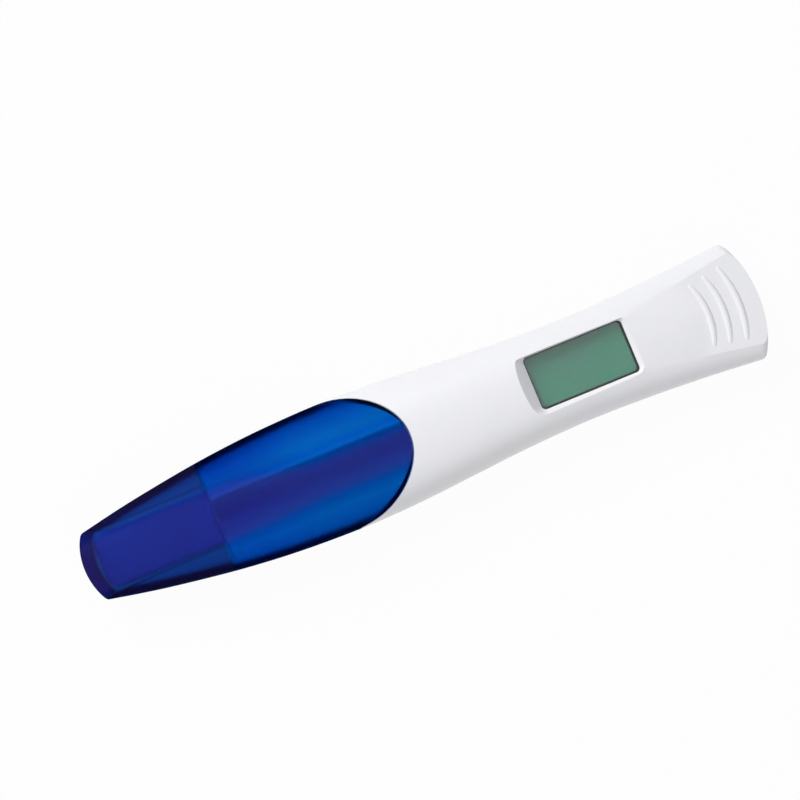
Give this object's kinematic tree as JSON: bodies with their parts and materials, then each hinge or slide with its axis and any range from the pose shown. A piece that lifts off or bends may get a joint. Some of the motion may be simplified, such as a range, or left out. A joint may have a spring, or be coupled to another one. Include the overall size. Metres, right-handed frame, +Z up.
{
  "type": "digital pregnancy test stick",
  "caption": "Slim white test stick with a display window, curved grip ribs and a translucent blue cap over its absorbent tip.",
  "frame": {"origin": "under the middle of the stick, on the plane that it rests on", "axes": "+X along the stick from the cap's tip to the grip end, +Y across it, +Z up out of the display"},
  "size_m": [0.145, 0.0264, 0.0145],
  "materials": {
    "cap_blue": "clear blue moulding, glossy",
    "housing_white": "white moulding with a soft gloss",
    "housing_white_lower": "white moulding with a soft gloss",
    "clear_window": "clear moulding, polished",
    "black_foam": "dark foam",
    "polariser": "grey film",
    "display_glass": "thin clear glass",
    "display_glass_rear": "thin clear glass",
    "display_reflector": "grey-green reflecting film",
    "frame_black": "black moulding",
    "conductive_rubber": "layered soft rubber",
    "board_green": "green circuit board",
    "resin_black": "black resin",
    "emitter_white": "small light source",
    "sensor_black": "dark sensor",
    "resistor_black": "dark chip part",
    "capacitor_tan": "tan chip part",
    "cell_steel": "steel can",
    "contact_metal": "plated spring metal",
    "optics_black": "black moulding",
    "card_white": "stiff white card",
    "pad_pink": "glass-fibre pad with dried dye",
    "membrane_white": "porous white membrane",
    "sink_white": "absorbent pad",
    "wick_white": "dense absorbent fibre",
    "tablet_grey": "pressed drying tablet"
  },
  "bodies": {
    "housing": {"upper_housing": "housing_white", "lower_housing": "housing_white_lower", "display_window": "clear_window", "window_gasket": "black_foam", "front_polariser": "polariser", "front_glass": "display_glass", "rear_glass": "display_glass_rear", "reflector": "display_reflector", "display_frame": "frame_black", "zebra_strips": "conductive_rubber", "circuit_board": "board_green", "microcontroller": "resin_black", "light_emitters": "emitter_white", "photodiodes": "sensor_black", "chip_resistors": "resistor_black", "chip_capacitors": "capacitor_tan", "coin_cell": "cell_steel", "battery_contacts": "contact_metal", "optical_block": "optics_black", "strip_card": "card_white", "conjugate_pad": "pad_pink", "test_membrane": "membrane_white", "sink_pad": "sink_white", "wick": "wick_white", "desiccant_tablet": "tablet_grey"},
    "cap": {"cap": "cap_blue"}
  },
  "joints": [
    {"name": "cap_slide", "type": "slide", "parent": "housing", "child": "cap", "axis": [-1, 0, 0], "range_m": [0, 0.07]}
  ]
}
